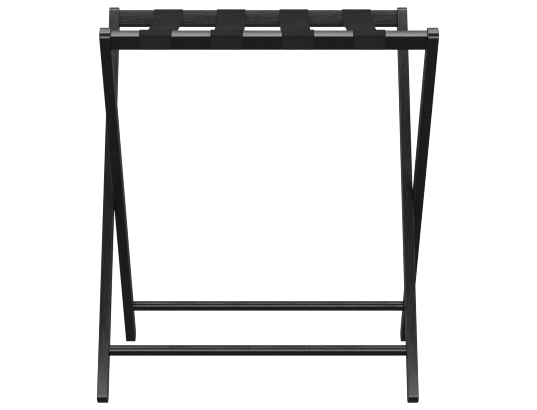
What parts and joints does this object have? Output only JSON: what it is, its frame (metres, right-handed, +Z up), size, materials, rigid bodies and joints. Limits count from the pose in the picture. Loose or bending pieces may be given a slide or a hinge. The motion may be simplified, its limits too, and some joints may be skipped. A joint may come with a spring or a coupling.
{
  "type": "folding luggage bench",
  "caption": "Folding X-frame luggage bench: crossed wooden leg frames with flat top rails, round stretchers and webbing straps that carry a suitcase off the floor.",
  "frame": {"origin": "on the floor under the middle of the open bench", "axes": "+X to the bench's right along the rails, +Y towards the back, +Z up"},
  "size_m": [0.5376, 0.3644, 0.6084],
  "materials": {
    "black_wood": "black stain over open grain, satin lacquer",
    "webbing": "matte woven webbing",
    "black_steel": "black oxide, satin",
    "black_nylon": "matte",
    "beech": "raw, fluted stock"
  },
  "bodies": {
    "front_frame": {"front_frame_left_leg": "black_wood", "front_frame_right_leg": "black_wood", "front_top_rail": "black_wood", "front_frame_stretcher": "black_wood", "front_rail_dowel_pins": "beech", "right_pivot_barrel_nut": "black_steel", "right_pivot_screw": "black_steel", "right_pivot_washer": "black_nylon", "strap_1_front_loop": "webbing", "strap_2_front_loop": "webbing", "strap_3_front_loop": "webbing", "strap_4_front_loop": "webbing", "front_strap_staples": "black_steel"},
    "rear_frame": {"rear_frame_left_leg": "black_wood", "rear_frame_right_leg": "black_wood", "rear_top_rail": "black_wood", "rear_frame_stretcher": "black_wood", "rear_rail_dowel_pins": "beech", "left_pivot_barrel_nut": "black_steel", "left_pivot_screw": "black_steel", "left_pivot_washer": "black_nylon", "strap_1_rear_loop": "webbing", "strap_2_rear_loop": "webbing", "strap_3_rear_loop": "webbing", "strap_4_rear_loop": "webbing", "rear_strap_staples": "black_steel"},
    "straps": {"strap_1_span": "webbing", "strap_2_span": "webbing", "strap_3_span": "webbing", "strap_4_span": "webbing"}
  },
  "joints": [
    {"name": "fold", "type": "hinge", "parent": "front_frame", "child": "rear_frame", "pos_m": [0, 0, 0.30104], "axis": [1, 0, 0], "range_deg": [0, 54.5]},
    {"name": "strap_swing", "type": "hinge", "parent": "front_frame", "child": "straps", "pos_m": [0, -0.15136, 0.58404], "axis": [1, 0, 0], "range_deg": [-63, 0]}
  ],
  "couplings": [
    {"joint": "strap_swing", "follows": "fold", "ratio": -1.15}
  ]
}
